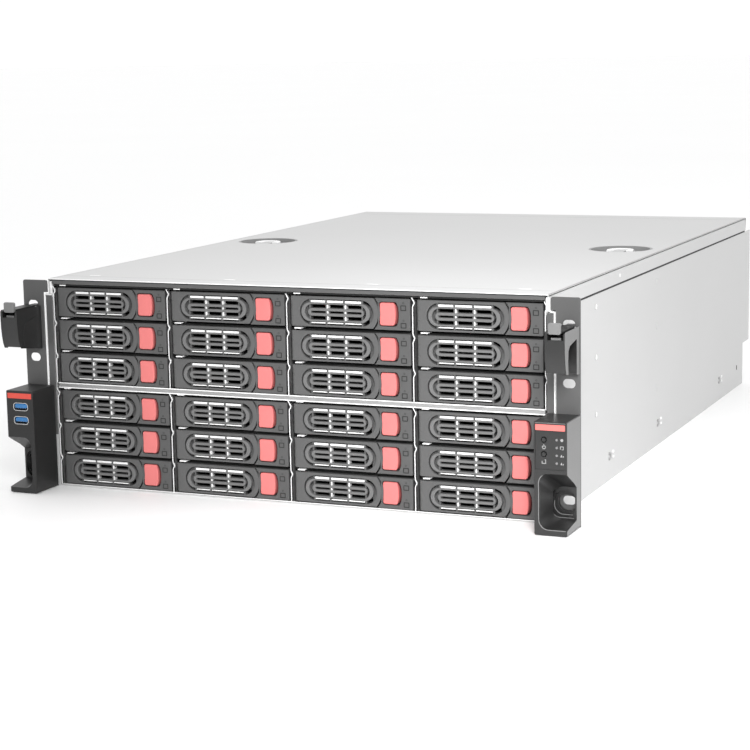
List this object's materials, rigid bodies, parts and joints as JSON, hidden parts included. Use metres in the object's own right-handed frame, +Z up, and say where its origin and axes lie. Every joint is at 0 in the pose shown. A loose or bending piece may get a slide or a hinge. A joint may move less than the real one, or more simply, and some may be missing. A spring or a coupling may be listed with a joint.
{
  "type": "rack storage enclosure",
  "caption": "Rack-mount storage enclosure with rows of hot-swap drive trays, a slide-off top cover, latched rack ears and small front control and port modules.",
  "frame": {"origin": "bottom centre of the whole object: the middle of its width and depth, on the underside of the floor", "axes": "+Z up, front with the drive trays towards -Y, +X to the right seen from the front"},
  "size_m": [0.4826, 0.7298, 0.1755],
  "materials": {
    "body_steel": "light grey, satin",
    "cage_steel": "zinc plated",
    "black_steel": "fine textured black",
    "black_plastic": "fine moulded texture",
    "tray_plastic": "fine moulded texture",
    "grey_plastic": "satin",
    "red_plastic": "satin red",
    "red_lens": "smooth",
    "circuit_board": "solder mask",
    "port_metal": "nickel plated",
    "zinc_steel": "zinc plated"
  },
  "bodies": {
    "chassis": {"base_pan": "body_steel", "rear_panel": "body_steel", "slot_covers": "body_steel", "front_beam": "black_steel", "drive_cage_upper": "cage_steel", "drive_cage_lower": "cage_steel", "backplane": "circuit_board", "fan_wall": "body_steel", "fan_housings": "black_plastic", "ear_left": "black_steel", "ear_right": "black_steel", "usb_module": "black_plastic", "control_module": "black_plastic", "usb_ports": "port_metal", "indicator_lenses": "red_lens", "latch_bodies": "black_plastic", "fasteners": "zinc_steel"},
    "cover": {"top_cover": "body_steel", "cover_grip_cups": "black_plastic"},
    "cover_latch_left": {"cover_latch_left": "grey_plastic"},
    "cover_latch_right": {"cover_latch_right": "grey_plastic"},
    "fan_rotor_left": {"fan_rotor_left": "black_plastic"},
    "fan_rotor_centre": {"fan_rotor_centre": "black_plastic"},
    "fan_rotor_right": {"fan_rotor_right": "black_plastic"},
    "power_button": {"power_button": "grey_plastic"},
    "reset_button": {"reset_button": "grey_plastic"},
    "latch_tab_left": {"latch_tab_left": "grey_plastic"},
    "latch_tab_right": {"latch_tab_right": "grey_plastic"},
    "tray_a1": {"tray_a1": "tray_plastic"},
    "tray_lever_a1": {"tray_lever_a1": "tray_plastic"},
    "tray_button_a1": {"tray_button_a1": "red_plastic"},
    "tray_a2": {"tray_a2": "tray_plastic"},
    "tray_a3": {"tray_a3": "tray_plastic"},
    "tray_a4": {"tray_a4": "tray_plastic"},
    "tray_a5": {"tray_a5": "tray_plastic"},
    "tray_a6": {"tray_a6": "tray_plastic"},
    "tray_b1": {"tray_b1": "tray_plastic"},
    "tray_lever_b1": {"tray_lever_b1": "tray_plastic"},
    "tray_button_b1": {"tray_button_b1": "red_plastic"},
    "tray_b2": {"tray_b2": "tray_plastic"},
    "tray_b3": {"tray_b3": "tray_plastic"},
    "tray_b4": {"tray_b4": "tray_plastic"},
    "tray_b5": {"tray_b5": "tray_plastic"},
    "tray_b6": {"tray_b6": "tray_plastic"},
    "tray_c1": {"tray_c1": "tray_plastic"},
    "tray_lever_c1": {"tray_lever_c1": "tray_plastic"},
    "tray_button_c1": {"tray_button_c1": "red_plastic"},
    "tray_c2": {"tray_c2": "tray_plastic"},
    "tray_c3": {"tray_c3": "tray_plastic"},
    "tray_c4": {"tray_c4": "tray_plastic"},
    "tray_c5": {"tray_c5": "tray_plastic"},
    "tray_c6": {"tray_c6": "tray_plastic"},
    "tray_d1": {"tray_d1": "tray_plastic"},
    "tray_lever_d1": {"tray_lever_d1": "tray_plastic"},
    "tray_button_d1": {"tray_button_d1": "red_plastic"},
    "tray_d2": {"tray_d2": "tray_plastic"},
    "tray_d3": {"tray_d3": "tray_plastic"},
    "tray_d4": {"tray_d4": "tray_plastic"},
    "tray_d5": {"tray_d5": "tray_plastic"},
    "tray_d6": {"tray_d6": "tray_plastic"}
  },
  "joints": [
    {"name": "cover_slide", "type": "slide", "parent": "chassis", "child": "cover", "axis": [0, 1, 0], "range_m": [0, 0.025]},
    {"name": "cover_latch_left_press", "type": "slide", "parent": "cover", "child": "cover_latch_left", "axis": [0, 0, -1], "range_m": [0, 0.0012], "stiffness_N_per_m": 600},
    {"name": "cover_latch_right_press", "type": "slide", "parent": "cover", "child": "cover_latch_right", "axis": [0, 0, -1], "range_m": [0, 0.0012], "stiffness_N_per_m": 600},
    {"name": "fan_left_spin", "type": "hinge", "parent": "chassis", "child": "fan_rotor_left", "pos_m": [-0.138, -0.1111, 0.086], "axis": [0, 1, 0], "continuous": true},
    {"name": "fan_centre_spin", "type": "hinge", "parent": "chassis", "child": "fan_rotor_centre", "pos_m": [0, -0.1111, 0.086], "axis": [0, 1, 0], "continuous": true},
    {"name": "fan_right_spin", "type": "hinge", "parent": "chassis", "child": "fan_rotor_right", "pos_m": [0.138, -0.1111, 0.086], "axis": [0, 1, 0], "continuous": true},
    {"name": "power_button_press", "type": "slide", "parent": "chassis", "child": "power_button", "axis": [0, 1, 0], "range_m": [0, 0.0008], "stiffness_N_per_m": 400},
    {"name": "reset_button_press", "type": "slide", "parent": "chassis", "child": "reset_button", "axis": [0, 1, 0], "range_m": [0, 0.0008], "stiffness_N_per_m": 400},
    {"name": "latch_tab_left_pivot", "type": "hinge", "parent": "chassis", "child": "latch_tab_left", "pos_m": [-0.23255, -0.3322, 0.152], "axis": [1, 0, 0], "range_deg": [0, 6], "stiffness_Nm_per_rad": 0.5},
    {"name": "latch_tab_right_pivot", "type": "hinge", "parent": "chassis", "child": "latch_tab_right", "pos_m": [0.23255, -0.3322, 0.152], "axis": [1, 0, 0], "range_deg": [0, 6], "stiffness_Nm_per_rad": 0.5},
    {"name": "tray_a1_slide", "type": "slide", "parent": "chassis", "child": "tray_a1", "axis": [0, -1, 0], "range_m": [0, 0.15]},
    {"name": "tray_lever_a1_pivot", "type": "hinge", "parent": "tray_a1", "child": "tray_lever_a1", "pos_m": [-0.20795, -0.3222, 0.1563], "axis": [0, 0, -1], "range_deg": [0, 60]},
    {"name": "tray_button_a1_press", "type": "slide", "parent": "tray_a1", "child": "tray_button_a1", "axis": [0, 1, 0], "range_m": [0, 0.002], "stiffness_N_per_m": 300},
    {"name": "tray_a2_slide", "type": "slide", "parent": "chassis", "child": "tray_a2", "axis": [0, -1, 0], "range_m": [0, 0.15]},
    {"name": "tray_a3_slide", "type": "slide", "parent": "chassis", "child": "tray_a3", "axis": [0, -1, 0], "range_m": [0, 0.15]},
    {"name": "tray_a4_slide", "type": "slide", "parent": "chassis", "child": "tray_a4", "axis": [0, -1, 0], "range_m": [0, 0.15]},
    {"name": "tray_a5_slide", "type": "slide", "parent": "chassis", "child": "tray_a5", "axis": [0, -1, 0], "range_m": [0, 0.15]},
    {"name": "tray_a6_slide", "type": "slide", "parent": "chassis", "child": "tray_a6", "axis": [0, -1, 0], "range_m": [0, 0.15]},
    {"name": "tray_b1_slide", "type": "slide", "parent": "chassis", "child": "tray_b1", "axis": [0, -1, 0], "range_m": [0, 0.15]},
    {"name": "tray_lever_b1_pivot", "type": "hinge", "parent": "tray_b1", "child": "tray_lever_b1", "pos_m": [-0.10105, -0.3222, 0.1563], "axis": [0, 0, -1], "range_deg": [0, 60]},
    {"name": "tray_button_b1_press", "type": "slide", "parent": "tray_b1", "child": "tray_button_b1", "axis": [0, 1, 0], "range_m": [0, 0.002], "stiffness_N_per_m": 300},
    {"name": "tray_b2_slide", "type": "slide", "parent": "chassis", "child": "tray_b2", "axis": [0, -1, 0], "range_m": [0, 0.15]},
    {"name": "tray_b3_slide", "type": "slide", "parent": "chassis", "child": "tray_b3", "axis": [0, -1, 0], "range_m": [0, 0.15]},
    {"name": "tray_b4_slide", "type": "slide", "parent": "chassis", "child": "tray_b4", "axis": [0, -1, 0], "range_m": [0, 0.15]},
    {"name": "tray_b5_slide", "type": "slide", "parent": "chassis", "child": "tray_b5", "axis": [0, -1, 0], "range_m": [0, 0.15]},
    {"name": "tray_b6_slide", "type": "slide", "parent": "chassis", "child": "tray_b6", "axis": [0, -1, 0], "range_m": [0, 0.15]},
    {"name": "tray_c1_slide", "type": "slide", "parent": "chassis", "child": "tray_c1", "axis": [0, -1, 0], "range_m": [0, 0.15]},
    {"name": "tray_lever_c1_pivot", "type": "hinge", "parent": "tray_c1", "child": "tray_lever_c1", "pos_m": [0.00585, -0.3222, 0.1563], "axis": [0, 0, -1], "range_deg": [0, 60]},
    {"name": "tray_button_c1_press", "type": "slide", "parent": "tray_c1", "child": "tray_button_c1", "axis": [0, 1, 0], "range_m": [0, 0.002], "stiffness_N_per_m": 300},
    {"name": "tray_c2_slide", "type": "slide", "parent": "chassis", "child": "tray_c2", "axis": [0, -1, 0], "range_m": [0, 0.15]},
    {"name": "tray_c3_slide", "type": "slide", "parent": "chassis", "child": "tray_c3", "axis": [0, -1, 0], "range_m": [0, 0.15]},
    {"name": "tray_c4_slide", "type": "slide", "parent": "chassis", "child": "tray_c4", "axis": [0, -1, 0], "range_m": [0, 0.15]},
    {"name": "tray_c5_slide", "type": "slide", "parent": "chassis", "child": "tray_c5", "axis": [0, -1, 0], "range_m": [0, 0.15]},
    {"name": "tray_c6_slide", "type": "slide", "parent": "chassis", "child": "tray_c6", "axis": [0, -1, 0], "range_m": [0, 0.15]},
    {"name": "tray_d1_slide", "type": "slide", "parent": "chassis", "child": "tray_d1", "axis": [0, -1, 0], "range_m": [0, 0.15]},
    {"name": "tray_lever_d1_pivot", "type": "hinge", "parent": "tray_d1", "child": "tray_lever_d1", "pos_m": [0.11275, -0.3222, 0.1563], "axis": [0, 0, -1], "range_deg": [0, 60]},
    {"name": "tray_button_d1_press", "type": "slide", "parent": "tray_d1", "child": "tray_button_d1", "axis": [0, 1, 0], "range_m": [0, 0.002], "stiffness_N_per_m": 300},
    {"name": "tray_d2_slide", "type": "slide", "parent": "chassis", "child": "tray_d2", "axis": [0, -1, 0], "range_m": [0, 0.15]},
    {"name": "tray_d3_slide", "type": "slide", "parent": "chassis", "child": "tray_d3", "axis": [0, -1, 0], "range_m": [0, 0.15]},
    {"name": "tray_d4_slide", "type": "slide", "parent": "chassis", "child": "tray_d4", "axis": [0, -1, 0], "range_m": [0, 0.15]},
    {"name": "tray_d5_slide", "type": "slide", "parent": "chassis", "child": "tray_d5", "axis": [0, -1, 0], "range_m": [0, 0.15]},
    {"name": "tray_d6_slide", "type": "slide", "parent": "chassis", "child": "tray_d6", "axis": [0, -1, 0], "range_m": [0, 0.15]}
  ]
}
